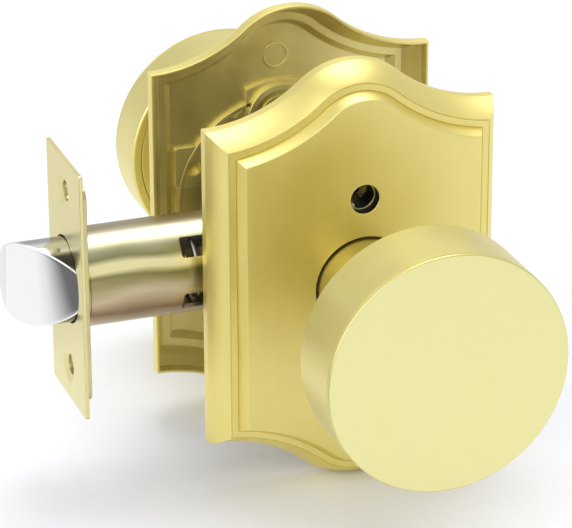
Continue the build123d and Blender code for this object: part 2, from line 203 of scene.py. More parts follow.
def scaled(tree, source, factors):
    """The object's own coordinates, stretched along each axis."""
    return add(tree, "ShaderNodeMapping", inputs={"Vector": source, "Scale": factors}).outputs[0]


def noise(tree, vector, scale, detail=3.0, distortion=0.0):
    values = {"Vector": vector, "Scale": scale, "Detail": detail, "Distortion": distortion}
    return add(tree, "ShaderNodeTexNoise", inputs=values).outputs["Fac"]


def spread(tree, value, low, high, start=0.3, end=0.7):
    """Carry a value from one range, by default the usual one of noise, to another."""
    values = {"Value": value, "From Min": start, "From Max": end, "To Min": low, "To Max": high}
    return add(tree, "ShaderNodeMapRange", inputs=values).outputs[0]


def surface(name):
    """A new material, with its tree, its shader and the object's own coordinates."""
    made = bpy.data.materials.new(name)
    made.use_nodes = True
    tree = made.node_tree
    where = add(tree, "ShaderNodeTexCoord").outputs["Object"]
    return made, tree, tree.nodes["Principled BSDF"], where


def finish(tree, shader, tone, gloss, height, depth, metallic):
    """Link colour, roughness and a bump whose height is in metres."""
    tree.links.new(tone, shader.inputs["Base Color"])
    tree.links.new(gloss, shader.inputs["Roughness"])
    bump = add(tree, "ShaderNodeBump", inputs={"Height": height, "Strength": 1.0, "Distance": depth})
    tree.links.new(bump.outputs[0], shader.inputs["Normal"])
    shader.inputs["Metallic"].default_value = metallic


def metal(name, colours, roughness, grain, depth, uneven=0.05, darkening=0.14):
    """A metal with a fine directional grain, slow colour drift and uneven gloss.

    colours is (dark, light), or a function that builds the colour; grain is the stretch of
    the object's coordinates; uneven is the drift of the roughness; darkening is how much
    the grain's lines darken the colour."""
    made, tree, shader, where = surface(name)
    lines = noise(tree, scaled(tree, where, grain), 1.0, 4.0)
    drift = noise(tree, where, 65.0, 3.0, 0.4)
    flecks = noise(tree, where, 2340.0, 2.0)
    if callable(colours):
        tone = colours(tree, where)
    else:
        dark, light = colours
        tone = ramp(tree, drift, [(0.3, dark), (0.7, light)])
    veil = ramp(tree, lines, [(0.25, (1 - darkening,) * 3), (0.75, (1.0,) * 3)])
    lined = add(tree, "ShaderNodeMix", {"data_type": "RGBA", "blend_type": "MULTIPLY"},
                {"Factor": 1.0, "A": tone, "B": veil})
    slow = spread(tree, drift, roughness - uneven, roughness + uneven)
    quick = spread(tree, lines, -uneven * 0.6, uneven * 0.6)
    gloss = math_node(tree, "ADD", math_node(tree, "ADD", slow, quick), spread(tree, flecks, -0.01, 0.01))
    height = math_node(tree, "ADD", lines, math_node(tree, "MULTIPLY", flecks, 0.3))
    finish(tree, shader, lined.outputs["Result"], gloss, height, depth, 1.0)
    return made


def cast_metal(name, dark, light, roughness):
    """The bare, sandy inside of a die casting."""
    made, tree, shader, where = surface(name)
    cloud = noise(tree, where, 55.0, 5.0, 0.8)
    sand = noise(tree, where, 2400.0, 3.0)
    flow = noise(tree, scaled(tree, where, (70.0, 400.0, 22.0)), 1.0, 4.0, 0.6)
    blend = math_node(tree, "ADD", math_node(tree, "MULTIPLY", cloud, 0.6),
                      math_node(tree, "MULTIPLY", flow, 0.4))
    gloss = math_node(tree, "ADD", spread(tree, cloud, roughness - 0.05, roughness + 0.06),
                      spread(tree, sand, -0.05, 0.05))
    height = math_node(tree, "ADD", math_node(tree, "MULTIPLY", sand, 0.35), flow)
    finish(tree, shader, ramp(tree, blend, [(0.32, dark), (0.66, light)]), gloss, height, 3e-5, 1.0)
    return made


def plastic(name, dark, light, roughness):
    """A dull material with a slow drift of colour and a very fine grain."""
    made, tree, shader, where = surface(name)
    cloud = noise(tree, where, 300.0, 4.0)
    fine = noise(tree, where, 4000.0, 2.0)
    gloss = spread(tree, cloud, roughness - 0.06, roughness + 0.06)
    finish(tree, shader, ramp(tree, cloud, [(0.3, dark), (0.7, light)]), gloss, fine, 2e-5, 0.0)
    return made


def round_latch(tree, where):
    """How far round the latch's axis a point is, from 0 to 1."""
    parts = add(tree, "ShaderNodeSeparateXYZ", inputs={0: where})
    across = math_node(tree, "SUBTRACT", parts.outputs[Y], LATCH_Y * MM)
    angle = math_node(tree, "ARCTAN2", parts.outputs[Z], math_node(tree, "MULTIPLY", across, -1.0))
    return math_node(tree, "ADD", math_node(tree, "MULTIPLY", angle, 0.5 / math.pi), 0.5)


def zinc_film_and_painted_reflection_bands(tree, where):
    """Yellow chromate bands round the part: partly the film's own colour as it thins and thickens, partly
    painted reflections, a painted highlight band and darker painted shade bands.
    """
    slow = noise(tree, scaled(tree, where, (26.0, 90.0, 90.0)), 1.0, 2.0, 0.3)
    place = math_node(tree, "ADD", round_latch(tree, where), spread(tree, slow, -0.045, 0.045))
    straw = (0.98, 0.90, 0.50)
    rose = (0.62, 0.51, 0.33)
    taupe = (0.40, 0.34, 0.22)
    olive = (0.30, 0.28, 0.10)
    grey = (0.30, 0.29, 0.13)
    # painted highlight: a pale band where a lamp's reflection falls on the tube's upper front
    painted_highlight = (0.62, 0.59, 0.43)
    # painted shade: the darkest band, on the tube's lower front
    lower_painted_shade = (0.32, 0.21, 0.12)
    return ramp(tree, place, [(0.00, straw), (0.14, rose), (0.26, grey), (0.34, rose), (0.405, lower_painted_shade),
                              (0.482, rose), (0.534, olive), (0.567, straw), (0.604, straw), (0.632, grey),
                              (0.685, painted_highlight), (0.753, taupe), (0.86, grey), (1.00, straw)])


def painted_reflection_bands(tree, where):
    """The bolt's barrel, painted reflections: bright along one narrow line, black beside it, grey
    elsewhere.
    """
    tones = [(0.00, 0.50), (0.22, 0.55), (0.33, 0.16), (0.42, 0.08), (0.62, 0.05), (0.655, 0.10),
             (0.68, 0.80), (0.72, 0.92), (0.75, 0.45), (0.80, 0.22), (0.88, 0.60), (1.00, 0.50)]
    stops = [(place, (tone, tone, tone * 1.01)) for place, tone in tones]
    return ramp(tree, round_latch(tree, where), stops)


# a grain's three numbers are noise cells per metre along x, y and z
TURNED = (25.0, 1900.0, 25.0)
FACED = (260.0, 260.0, 120.0)
BRUSHED = (1700.0, 1700.0, 30.0)
DRAWN = (30.0, 1500.0, 1500.0)
LENGTHWAYS = (60.0, 900.0, 900.0)
PLATED = (900.0, 900.0, 300.0)
ROLLED = (1200.0, 1200.0, 300.0)
POLISHED = (700.0, 700.0, 700.0)
PLAIN = (900.0, 900.0, 900.0)

turned_brass = metal("turned_satin_brass", ((0.80, 0.71, 0.27), (0.83, 0.745, 0.30)), 0.38, TURNED, 0.6e-6,
                     uneven=0.02, darkening=0.056)
# a darker copy of the turned brass for the necks: painted shade of the gap between knob and rosette
neck_brass_painted_shade = metal("neck_satin_brass_painted_shade", ((0.63, 0.55, 0.25), (0.68, 0.60, 0.28)), 0.36, TURNED, 0.6e-6,
                   uneven=0.02, darkening=0.056)
# a paler, less yellow copy of the turned brass for the knob's flat front, with its own faced grain: the
# paler colour is painted light on the face turned to the lamps
face_brass_painted_light = metal("faced_satin_brass_painted_light", ((0.82, 0.765, 0.358), (0.835, 0.785, 0.372)), 0.34, FACED, 0.3e-6,
                   uneven=0.02, darkening=0.012)
brushed_brass = metal("brushed_satin_brass", ((0.85, 0.735, 0.26), (0.88, 0.77, 0.285)), 0.45, BRUSHED,
                      0.5e-6, uneven=0.025, darkening=0.032)
plate_brass = metal("plate_satin_brass", ((0.79, 0.715, 0.345), (0.82, 0.745, 0.37)), 0.34, BRUSHED, 0.6e-6,
                    uneven=0.03, darkening=0.04)
cast_brass = cast_metal("cast_brass_inside", (0.76, 0.65, 0.26), (0.97, 0.87, 0.40), 0.44)
# its colour bands hold painted reflections: a painted highlight band and darker painted shade bands at
# fixed places round the tube
yellow_zinc = metal("yellow_zinc", zinc_film_and_painted_reflection_bands, 0.31, DRAWN, 1e-6, uneven=0.03, darkening=0.032)
flat_zinc = metal("yellow_zinc_flat", ((0.60, 0.52, 0.28), (0.74, 0.66, 0.34)), 0.30, PLATED, 2e-6)
chrome = metal("polished_chrome", ((0.90, 0.90, 0.91), (0.93, 0.93, 0.935)), 0.07, POLISHED, 1e-7,
               uneven=0.012, darkening=0.012)
# the barrel's colour is painted reflections in bands round the bolt's axis
barrel_chrome_painted_reflections = metal("barrel_chrome_painted_reflections", painted_reflection_bands, 0.10, LENGTHWAYS, 1e-7, uneven=0.012, darkening=0.012)
zinc_steel = metal("zinc_steel", ((0.54, 0.54, 0.56), (0.66, 0.66, 0.66)), 0.34, ROLLED, 2e-6)
spring_steel = metal("spring_steel", ((0.34, 0.34, 0.36), (0.46, 0.46, 0.47)), 0.28, PLAIN, 2e-6)
# near-black; on the release eyelet and the release hole's walls it is painted shade of the hole's depth
black_oxide_and_painted_shade = metal("black_oxide_and_painted_shade", ((0.012, 0.011, 0.010), (0.022, 0.020, 0.018)), 0.50, PLAIN, 2e-6)
nylon = plastic("white_nylon", (0.80, 0.79, 0.73), (0.86, 0.85, 0.80), 0.45)


# ---- frames and meshes --------------------------------------------------------------
def outside(x, s, z):
    """From the door-face frame to the outside face of the door."""
    return (-x, -(s + HALF_DOOR), z)


def inside(x, s, z):
    """From the door-face frame to the inside face of the door."""
    return (x, s + HALF_DOOR, z)


def latchward(u, s, v):
    """From the latch's frame."""
    return (-s, LATCH_Y + u, v)


SIDES = (("outside", outside), ("inside", inside))


def turns(segments):
    """The angles of a circle's points."""
    return [2 * math.pi * i / segments for i in range(segments)]


class Shape:
    """The points and faces of one piece; a face's kind is the index of its material."""

    def __init__(self):
        self.points = []
        self.faces = []
        self.kinds = []

    def ring(self, points):
        """Add points and give their indices."""
        first = len(self.points)
        self.points.extend(points)
        return list(range(first, len(self.points)))

    def face(self, corners, kind=0):
        self.faces.append(tuple(corners))
        self.kinds.append(kind)

    def bridge(self, a, b, kind=0):
        """A band of quads between two closed rings, or a fan to a single point."""
        if len(a) == 1:
            a, b = b, a
        for i in range(len(a)):
            j = (i + 1) % len(a)
            if len(b) == 1:
                self.face((a[i], a[j], b[0]), kind)
            else:
                self.face((a[i], a[j], b[j], b[i]), kind)

    def strip(self, rings, kinds=None):
        for i in range(len(rings) - 1):
            self.bridge(rings[i], rings[i + 1], kinds[i] if kinds else 0)

    def fill(self, outer, holes=(), kind=0):
        """A flat face with holes, at one height."""
        loops = [outer, *holes]
        index = [i for loop in loops for i in loop]
        flat = [Vector((self.points[i][0], self.points[i][2])) for i in index]
        edges, start = [], 0
        for loop in loops:
            n = len(loop)
            edges += [(start + i, start + (i + 1) % n) for i in range(n)]
            start += n
        _, _, found, origins, _, _ = delaunay_2d_cdt(flat, edges, [], 0, 1e-7)
        border, *gaps = [[(self.points[i][0], self.points[i][2]) for i in loop] for loop in loops]
        for corners in found:
            named = [index[origins[c][0]] for c in corners]
            x = sum(self.points[i][0] for i in named) / 3
            z = sum(self.points[i][2] for i in named) / 3
            if within(x, z, border) and not any(within(x, z, gap) for gap in gaps):
                self.face(named, kind)

    def lathe(self, profile, x=0.0, z=0.0, segments=96, kinds=None):
        """Rings round a Y axis through (x, z), from (radius, height) points."""
        rings = []
        for radius, height in profile:
            if radius < 1e-6:
                rings.append(self.ring([(x, height, z)]))
            else:
                rings.append(self.ring([(x + radius * math.cos(t), height, z + radius * math.sin(t))
                                        for t in turns(segments)]))
        self.strip(rings, kinds)
        return rings

    def build(self, name, place, materials, crease=CREASE):
        """The shape as an object, carried from its frame by place."""
        mesh = bpy.data.meshes.new(name)
        world = [tuple(c * MM for c in place(*p)) for p in self.points]
        mesh.from_pydata(world, [], self.faces)
        mesh.polygons.foreach_set("material_index", self.kinds)
        work = bmesh.new()
        work.from_mesh(mesh)
        bmesh.ops.remove_doubles(work, verts=work.verts, dist=1e-7)
        bmesh.ops.recalc_face_normals(work, faces=work.faces)
        work.to_mesh(mesh)
        work.free()
        made = bpy.data.objects.new(name, mesh)
        bpy.context.scene.collection.objects.link(made)
        for material in materials:
            mesh.materials.append(material)
        smooth(made, crease)
        return made


def within(x, z, polygon):
    """Whether a point is inside a closed outline."""
    hit = False
    x0, z0 = polygon[-1]
    for x1, z1 in polygon:
        if (z0 > z) != (z1 > z) and x < (x1 - x0) * (z - z0) / (z1 - z0) + x0:
            hit = not hit
        x0, z0 = x1, z1
    return hit


def smooth(made, crease):
    """Smooth shading, apart from edges that turn by more than the crease angle."""
    mesh = made.data
    mesh.polygons.foreach_set("use_smooth", [True] * len(mesh.polygons))
    mesh.set_sharp_from_angle(angle=math.radians(crease))


def stand_for(made, body, node):
    """Put a finished piece in its CAD node's place, with normals that favour large faces."""
    made.modifiers.new("weighted_normals", "WEIGHTED_NORMAL").keep_sharp = True
    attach(made, body)
    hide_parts(node)


def boolean(target, tool, operation):
    """Cut with, or add, another closed mesh, and drop it."""
    step = target.modifiers.new(operation, "BOOLEAN")
    step.operation = operation
    step.solver = "EXACT"
    step.object = tool
    graph = bpy.context.evaluated_depsgraph_get()
    result = bpy.data.meshes.new_from_object(target.evaluated_get(graph))
    old = target.data
    target.modifiers.clear()
    target.data = result
    result.name = target.name
    bpy.data.meshes.remove(old)
    used = tool.data
    bpy.data.objects.remove(tool)
    bpy.data.meshes.remove(used)


# ---- outlines and simple shapes -----------------------------------------------------
def rounded(points, steps=4, closed=False):
    """(u, v, radius) corners as (u, v) points, with each corner that has a radius rounded.

    A closed outline comes back to its first point."""
    path = []
    count = len(points)
    for i, (u, v, radius) in enumerate(points):
        if radius <= 0 or (not closed and i in (0, count - 1)):
            path.append((u, v))
            continue
        corner = Vector((u, v))
        back = Vector(points[i - 1][:2]) - corner
        ahead = Vector(points[(i + 1) % count][:2]) - corner
        half = back.angle(ahead) / 2
        cut = min(radius / math.tan(half), 0.45 * back.length, 0.45 * ahead.length)
        back.normalize()
        ahead.normalize()
        centre = corner + (back + ahead).normalized() * (cut / math.cos(half))
        first = corner + back * cut - centre
        last = corner + ahead * cut - centre
        sweep = first.angle(last)
        for k in range(steps + 1):
            t = k / steps
            spot = (first * math.sin((1 - t) * sweep) + last * math.sin(t * sweep)) / math.sin(sweep)
            path.append(tuple(centre + spot))
    return path + path[:1] if closed else path


def rounded_rectangle(half_u, half_v, radius, steps=6):
    """A rectangle with round corners, as (u, v) points in order."""
    points = []
    for quarter, (su, sv) in enumerate(((1, 1), (-1, 1), (-1, -1), (1, -1))):
        for k in range(steps + 1):
            t = math.pi / 2 * (quarter + k / steps)
            points.append((su * (half_u - radius) + radius * math.cos(t),
                           sv * (half_v - radius) + radius * math.sin(t)))
    return points


def outline(inset):
    """The rosette outline drawn in by an inset, as (x, z) points in order."""
    flank = FLANK_R + inset
    crown = CROWN_R - inset
    corner = FLANK_Z - math.sqrt(flank**2 - inset**2)
    start = math.atan2(corner - FLANK_Z, -inset) if inset else -math.pi / 2
    end = math.atan2(CROWN_Z - FLANK_Z, -FLANK_X)
    lean = math.atan2(FLANK_Z - CROWN_Z, FLANK_X)
    flanks, crowns, sides = 26, 52, 8
    top = []
    for i in range(flanks + 1):
        t = start + (end - start) * i / flanks
        top.append((FLANK_X + flank * math.cos(t), FLANK_Z + flank * math.sin(t)))
    for i in range(1, crowns):
        t = lean + (math.pi - 2 * lean) * i / crowns
        top.append((crown * math.cos(t), CROWN_Z + crown * math.sin(t)))
    top += [(-x, z) for x, z in reversed(top[:flanks + 1])]
    half = FLANK_X - inset
    side = [(-half, corner - 2 * corner * i / sides) for i in range(1, sides)]
    arch = top + side
    return arch + [(-x, -z) for x, z in arch]


def bore(radius, high, low, edges, flat):
    """The wall of a round hole and a flat ring at each end, as corners to be rounded."""
    upper, lower = edges
    return [(radius + flat, high, 0), (radius, high, upper), (radius, low, lower), (radius + flat, low, 0)]


def sunk_bore(head, shank, high, deep, low, flat):
    """The wall of a hole whose cone narrows from head to shank, down to the height deep."""
    return [(head + flat, high, 0), (head, high, 0.1), (shank, deep, 0.05), (shank, low, 0),
            (shank + flat, low, 0)]


def tube(outer, inner, low, high, x=0.0, z=0.0, segments=64, edge=0.2):
    """A closed ring with softened edges at its low end."""
    corners = [(inner, high, 0), (inner, low, edge), (outer, low, edge), (outer, high, 0)]
    shape = Shape()
    shape.lathe(rounded(corners, closed=True), x, z, segments)
    return shape


def stud(radius, low, high, x, z, segments):
    """A closed round post."""
    shape = Shape()
    shape.lathe([(0, low), (radius, low), (radius, high), (0, high)], x, z, segments)
    return shape


def layered(sections):
    """A closed shape from rings of (x, height, z) points, one above the other."""
    shape = Shape()
    rings = [shape.ring(points) for points in sections]
    shape.strip(rings)
    shape.fill(rings[0])
    shape.fill(rings[-1])
    return shape


def pad(x, z, low, high):
    """A rounded block round (x, z)."""
    corner, edge = 0.8, 0.25
    sections = []
    for inset, height in rounded([(edge * 3, low, 0), (0, low, edge), (0, high, 0)]):
        points = rounded_rectangle(PAD_W / 2 - inset, PAD_H / 2 - inset, max(corner - inset, 0.05))
        sections.append([(x + u, height, z + v) for u, v in points])
    return layered(sections)


def arched_pad(low, high):
    """The low arched skirt above the lock's boss."""
    arch_z, arch_r, half, steps, edge = 8.9, 20.0, 8.3, 12, 0.25
    lean = math.asin(half / arch_r)
    points = []
    for k in range(-steps, steps + 1):
        t = lean * k / steps
        points.append((arch_r * math.sin(t), arch_z + arch_r * math.cos(t)))
    points += [(half, LOCK_Z), (-half, LOCK_Z)]
    sections = []
    for inset, height in rounded([(edge * 3, low, 0), (0, low, edge), (0, high, 0)]):
        keep = 1 - inset / half
        sections.append([(x * keep, height, LOCK_Z + (z - LOCK_Z) * keep) for x, z in points])
    return layered(sections)


def together(shapes, kind):
    """Several closed shapes as one, all of one kind."""
    whole = Shape()
    for shape in shapes:
        first = len(whole.points)
        whole.points += shape.points
        for corners in shape.faces:
            whole.face([first + i for i in corners], kind)
    return whole


# ---- rosettes -----------------------------------------------------------------------
def rosette_profile():
    """(inset, height) points from the face, over the outer steps and rim, to the underside."""
    ledge = BAND + BEVEL
    length = math.hypot(BEVEL, BEVEL_IN)
    step_foot = BEVEL_IN + LEDGE
    step_top = step_foot + STEP_IN
    step = [(step_top + 1.2, FACE, 0), (step_top, FACE, 0.35)]
    foot_groove = [(step_foot + 0.06, ledge + 0.13, 0), (step_foot, ledge - 0.16, 0),
                   (step_foot - 0.14, ledge, 0)]
    edge_groove = [(BEVEL_IN + 0.34, ledge, 0), (BEVEL_IN + 0.24, ledge - 0.14, 0),
                   (BEVEL_IN + 0.12, ledge, 0)]
    bevel = [(BEVEL_IN, ledge - 0.04, 0.1)]
    steps = 8
    for i in range(1, steps):
        t = i / steps
        swell = 4 * BEVEL_BULGE * t * (1 - t)
        bevel.append((BEVEL_IN * (1 - t) - swell * BEVEL / length,
                      ledge - BEVEL * t + swell * BEVEL_IN / length, 0.0))
    band = [(0, BAND, 0.25), (0, 0, 0.2), (0.6, 0, 0.12)]
    hollow = [(0.9, 2.4, 0.3), (3.7, 7.4, 0.4), (5.5, 7.4, 0.3), (6.9, UNDER, 0.5), (8.3, UNDER, 0)]
    return rounded([*step, *foot_groove, *edge_groove, *bevel, *band, *hollow])


def holes(side):
    """(x, z, profile, segments) of each hole through the face."""
    found = [(0.0, 0.0, bore(NECK_HOLE_R, FACE, UNDER, (0.2, 0.1), 0.7), 128),
             (0.0, LOCK_Z, bore(LOCK_HOLE_R[side], FACE, UNDER, (0.18, 0.1), 0.6), 80)]
    if side == "inside":
        screw = sunk_bore(SCREW_HEAD_R, BOLT_HOLE_R, FACE, FACE - 1.8, UNDER, 0.6)
        found += [(x, BOLT_Z, screw, 56) for x in (-BOLT_X, BOLT_X)]
    return found


def casting_details():
    """What stands on the underside, in groups whose shapes don't touch each other."""
    top = UNDER + 0.5
    pads = [pad(x, z, UNDER - 0.9, top) for x in (-BOLT_X, BOLT_X) for z in (PAD_Z, -PAD_Z)]
    pillars = []
    for angle in PILLAR_ANGLES:
        x = PILLAR_AT_R * math.cos(math.radians(angle))
        z = PILLAR_AT_R * math.sin(math.radians(angle))
        pillars.append(tube(PILLAR_R, 1.2, 1.8, top, x, z, 40))
    ejector = tube(EJECTOR_R, EJECTOR_R - 0.6, UNDER - 0.3, top, *EJECTOR_AT, segments=56, edge=0.1)
    collar = tube(COLLAR_R, BUSH_SEAT_R - 0.4, COLLAR_LOW, top, segments=128)
    boss = tube(BOSS_R, LOCK_SEAT_R - 0.6, UNDER - 2.2, top, 0, LOCK_Z, 72)
    rib = tube(RIB_R, RIB_R - RIB_T, UNDER - 1.0, top, segments=144, edge=0.3)
    return [[collar, ejector, *pads, *pillars], [boss], [rib], [arched_pad(UNDER - 1.0, top)]]


def casting_cutters(side):
    """The seats and holes that are cut into the casting from below."""
    below = -1.0
    cutters = [stud(BUSH_SEAT_R, below, UNDER - 0.2, 0, 0, 128),
               stud(LOCK_SEAT_R, below, UNDER - 0.2, 0, LOCK_Z, 64)]
    radius, deep = (POST_SEAT_R, UNDER - 0.02) if side == "outside" else (BOLT_HOLE_R, UNDER + 0.3)
    for x in (-BOLT_X, BOLT_X):
        cutters.append(stud(radius, below, deep, x, BOLT_Z, 40))
        cutters.append(stud(BLIND_HOLE_R, below, UNDER + 0.6, x, -BOLT_Z, 40))
    return cutters


def rosette(side, place):
    """The stepped face with its holes, and the casting's collar, pads and boss inside."""
    shape = Shape()
    profile = rosette_profile()
    rim = max(i for i, (inset, height) in enumerate(profile) if height < 1e-6)
    rings = [shape.ring([(x, height, z) for x, z in outline(inset)]) for inset, height in profile]
    shape.strip(rings, [0 if i <= rim else 1 for i in range(len(rings))])
    upper, lower = [], []
    for x, z, corners, segments in holes(side):
        path = rounded(corners)
        # the outside release hole's walls below the face are painted black: painted shade of the hole's
        # depth
        dark = side == "outside" and z == LOCK_Z
        deep = [2 if dark and max(a[1], b[1]) < FACE - 0.1 else 0 for a, b in zip(path, path[1:])]
        wall = shape.lathe(path, x, z, segments, kinds=deep)
        upper.append(wall[0])
        lower.append(wall[-1])
    shape.fill(rings[0], upper, 0)
    shape.fill(rings[-1], lower, 1)
    materials = (brushed_brass, cast_brass, black_oxide_and_painted_shade)
    made = shape.build(f"{side}_rosette_casting", place, materials)
    for group in casting_details():
        boolean(made, together(group, 1).build("tool", place, materials), "UNION")
    boolean(made, together(casting_cutters(side), 1).build("tool", place, materials), "DIFFERENCE")
    passage = stud(LOCK_HOLE_R[side] + 0.02, UNDER - 1.0, UNDER + 0.6, 0, LOCK_Z, 80)
    boolean(made, passage.build("tool", place, (black_oxide_and_painted_shade,)), "DIFFERENCE")
    smooth(made, CREASE)
    stand_for(made, "chassis", f"{side}_rosette")


def release_eyelet():
    """The eyelet behind the release hole, black as painted shade of the hole's depth, with its rolled lip
    and a small pin.
    """
    shape = Shape()
    high = UNDER - 0.25
    flange = high - 0.95
    low = high - 4.75
    path = rounded([(2.9, high, 0.12), (6.5, high, 0.15), (6.5, flange, 0.15), (3.6, flange, 0.2),
                    (3.6, low, 0.1), (2.9, low, 0.1)], closed=True)
    lip = [1 if min(a[1], b[1]) > high - 0.16 else 0 for a, b in zip(path, path[1:])]
    shape.lathe(path, 0, LOCK_Z, 80, kinds=lip)
    pin = rounded([(0, high - 2.0, 0), (0.5, high - 2.0, 0), (0.5, high - 0.05, 0.15), (0, high - 0.05, 0)])
    shape.lathe(pin, 1.95, LOCK_Z - 2.1, 24, kinds=[1] * len(pin))
    made = shape.build("release_eyelet", outside, (black_oxide_and_painted_shade, plate_brass))
    stand_for(made, "chassis", "release_guide")


# ---- knobs --------------------------------------------------------------------------
def drum(side, place, base, front):
    """The turned drum, hollow from behind, with a groove round its front edge."""
    inner = KNOB_R - KNOB_WALL
    floor = front - KNOB_FACE_T
    bore_r = NECK_R + FIT
    face = [(0, front, 0), (KNOB_R * 0.5, front, 0), (KNOB_R, front, 0.7)]
    groove = [(KNOB_R, front - 0.72, 0), (KNOB_R - 0.24, front - 0.84, 0), (KNOB_R, front - 0.98, 0)]
    wall = [(KNOB_R, base, 0.75), (inner, base, 0.35), (inner, floor, 0.3)]
    hub = [(HUB_R, floor, 0.1), (HUB_R, floor - 5.0, 0.2), (bore_r, floor - 5.0, 0.2), (bore_r, floor, 0.1)]
    path = rounded([*face, *groove, *wall, *hub, (0, floor, 0)], 5)
    # the flat front takes the paler brass, painted light
    kinds = [1 if min(a[1], b[1]) > front - 0.02 else 0 for a, b in zip(path, path[1:])]
    shape = Shape()
    shape.lathe(path, segments=192, kinds=kinds)
    made = shape.build(f"{side}_knob_drum", place, (turned_brass, face_brass_painted_light))
    stand_for(made, "knobs", f"{side}_knob")


def back_disc(side, place, base):
    """The disc that closes the drum's back, with a collar that grips the neck."""
    outer = KNOB_R - KNOB_WALL - 0.08
    inner = NECK_R + FIT
    back = base + 0.3
    corners = [(inner, back, 0.2), (outer, back, 0.4), (outer, back + 1.8, 0.1),
               (HUB_R, back + 1.8, 0.1), (HUB_R, back + 4.7, 0.2), (inner, back + 4.7, 0.2)]
    shape = Shape()
    shape.lathe(rounded(corners, 5, closed=True), segments=192)
    made = shape.build(f"{side}_knob_back_disc", place, (turned_brass,))
    stand_for(made, "knobs", f"{side}_knob_back")


def neck(side, place, front):
    """The turned neck with its cam seat, ring groove, square socket and hollow front."""
    hollow = NECK_R - 2.0
    shape = Shape()
    path = rounded([(CAM_SEAT_R, NECK_LOW, 0), (CAM_SEAT_R, CAM_SEAT_TOP, 0.1),
                    (RING_SEAT_R, CAM_SEAT_TOP, 0.1), (RING_SEAT_R, RING_SEAT_TOP, 0.1),
                    (NECK_R, RING_SEAT_TOP, 0.3), (NECK_R, front, 0.2),
                    (hollow, front, 0.2), (hollow, HOLLOW_END, 0.4), (0, HOLLOW_END, 0)])
    rings = shape.lathe(path, segments=160)
    square = [(SOCKET_HALF * u, SOCKET_HALF * v) for u, v in ((1, 1), (-1, 1), (-1, -1), (1, -1))]
    mouth, end = (shape.ring([(x, height, z) for x, z in square]) for height in (NECK_LOW, SOCKET_END))
    shape.fill(rings[0], [mouth])
    shape.bridge(mouth, end)
    shape.face(end)
    made = shape.build(f"{side}_neck_turned", place, (neck_brass_painted_shade,))
    stand_for(made, "knobs", f"{side}_knob_neck")


def knob(side, place):
    """The drum, the disc that closes its back, and the neck."""
    low, high = span(f"{side}_knob", Y)
    if side == "outside":
        low, high = -high, -low
    base, front = low - HALF_DOOR, high - HALF_DOOR
    drum(side, place, base, front)
    back_disc(side, place, base)
    neck(side, place, front - KNOB_FACE_T - NECK_GAP)


# ---- latch --------------------------------------------------------------------------
def plate(name, size, corner, low, high, bores, node, material, margin=1.2):
    """A flat plate on the door's edge with softened edges and (v, corners, segments) bores."""
    shape = Shape()
    half_w, half_h = size[0] / 2, size[1] / 2
    rim = [(margin, high, 0), (0, high, PLATE_EDGE), (0, low, PLATE_EDGE), (margin, low, 0)]
    rings = []
    for inset, height in rounded(rim):
        points = rounded_rectangle(half_w - inset, half_h - inset, max(corner - inset, 0.08))
        rings.append(shape.ring([(u, height, v) for u, v in points]))
    shape.strip(rings)
    walls = [shape.lathe(rounded(corners), 0, v, segments) for v, corners, segments in bores]
    shape.fill(rings[0], [wall[0] for wall in walls])
    shape.fill(rings[-1], [wall[-1] for wall in walls])
    made = shape.build(name, latchward, (material,))
    stand_for(made, "chassis", node)


def latch_plates():
    """The faceplate with its countersunk holes, and the mounting plate behind it."""
    front = -PLATE_X
    middle = front - FACEPLATE_T
    rear = middle - BACKPLATE_T
    screws_v = (-SCREW_SPACING / 2, SCREW_SPACING / 2)

    bolt_way = bore(BOLT_R + 0.3, front, middle, (0.15, 0.15), 0.7)
    sunk = sunk_bore(SCREW_HEAD_R, SCREW_HOLE_R, front, front - 0.6, middle, 0.7)
    bores = [(0.0, bolt_way, 112), *((v, sunk, 56) for v in screws_v)]
    plate("latch_front_plate", (FACEPLATE_W, FACEPLATE_H), 0.7, middle, front, bores,
          "latch_faceplate", plate_brass)

    tube_way = bore(TUBE_R, middle, rear, (0.05, 0.05), 0.2)
    plain = bore(SCREW_HOLE_R, middle, rear, (0.1, 0.1), 0.7)
    bores = [(0.0, tube_way, 112), *((v, plain, 48) for v in screws_v)]
    plate("latch_mounting_plate", (BACKPLATE_W, BACKPLATE_H), 2.5, rear, middle, bores,
          "latch_back_plate", flat_zinc, margin=0.4)


def cut_window(made, angle):
    """A window through the tube's wall, at an angle round its axis."""
    cutter = Shape()
    points = rounded_rectangle(WINDOW_W / 2, WINDOW_L / 2, 0.7)
    rings = [cutter.ring([(depth, WINDOW_S + v, u) for u, v in points])
             for depth in (TUBE_R + 2.0, TUBE_R - TUBE_WALL - 2.0)]
    cutter.strip(rings)
    for ring in rings:
        cutter.face(ring)
    turn = math.radians(180.0 - angle)

    def turned(radial, s, side):
        return latchward(radial * math.cos(turn) - side * math.sin(turn), s,
                         radial * math.sin(turn) + side * math.cos(turn))

    boolean(made, cutter.build("tool", turned, (yellow_zinc,)), "DIFFERENCE")


def latch_tube():
    """The tube with its staked lip and four pressed windows."""
    start, end = -TUBE_START, -TUBE_END
    lip = start - BACKPLATE_T
    inner = TUBE_R - TUBE_WALL
    outer = TUBE_R - 0.01
    swell = TUBE_R + 0.3
    corners = [(inner, start, 0.05), (outer, start, 0.05), (outer, lip, 0), (swell, lip, 0),
               (swell, lip - 0.4, 0.2), (TUBE_R, lip - 0.8, 0.2), (TUBE_R, end, 0.3), (inner, end, 0.3)]
    shape = Shape()
    shape.lathe(rounded(corners, closed=True), segments=160)
    made = shape.build("latch_tube_body", latchward, (yellow_zinc,))
    for angle in WINDOW_ANGLES:
        cut_window(made, angle)
    smooth(made, CREASE)
    stand_for(made, "chassis", "latch_tube")


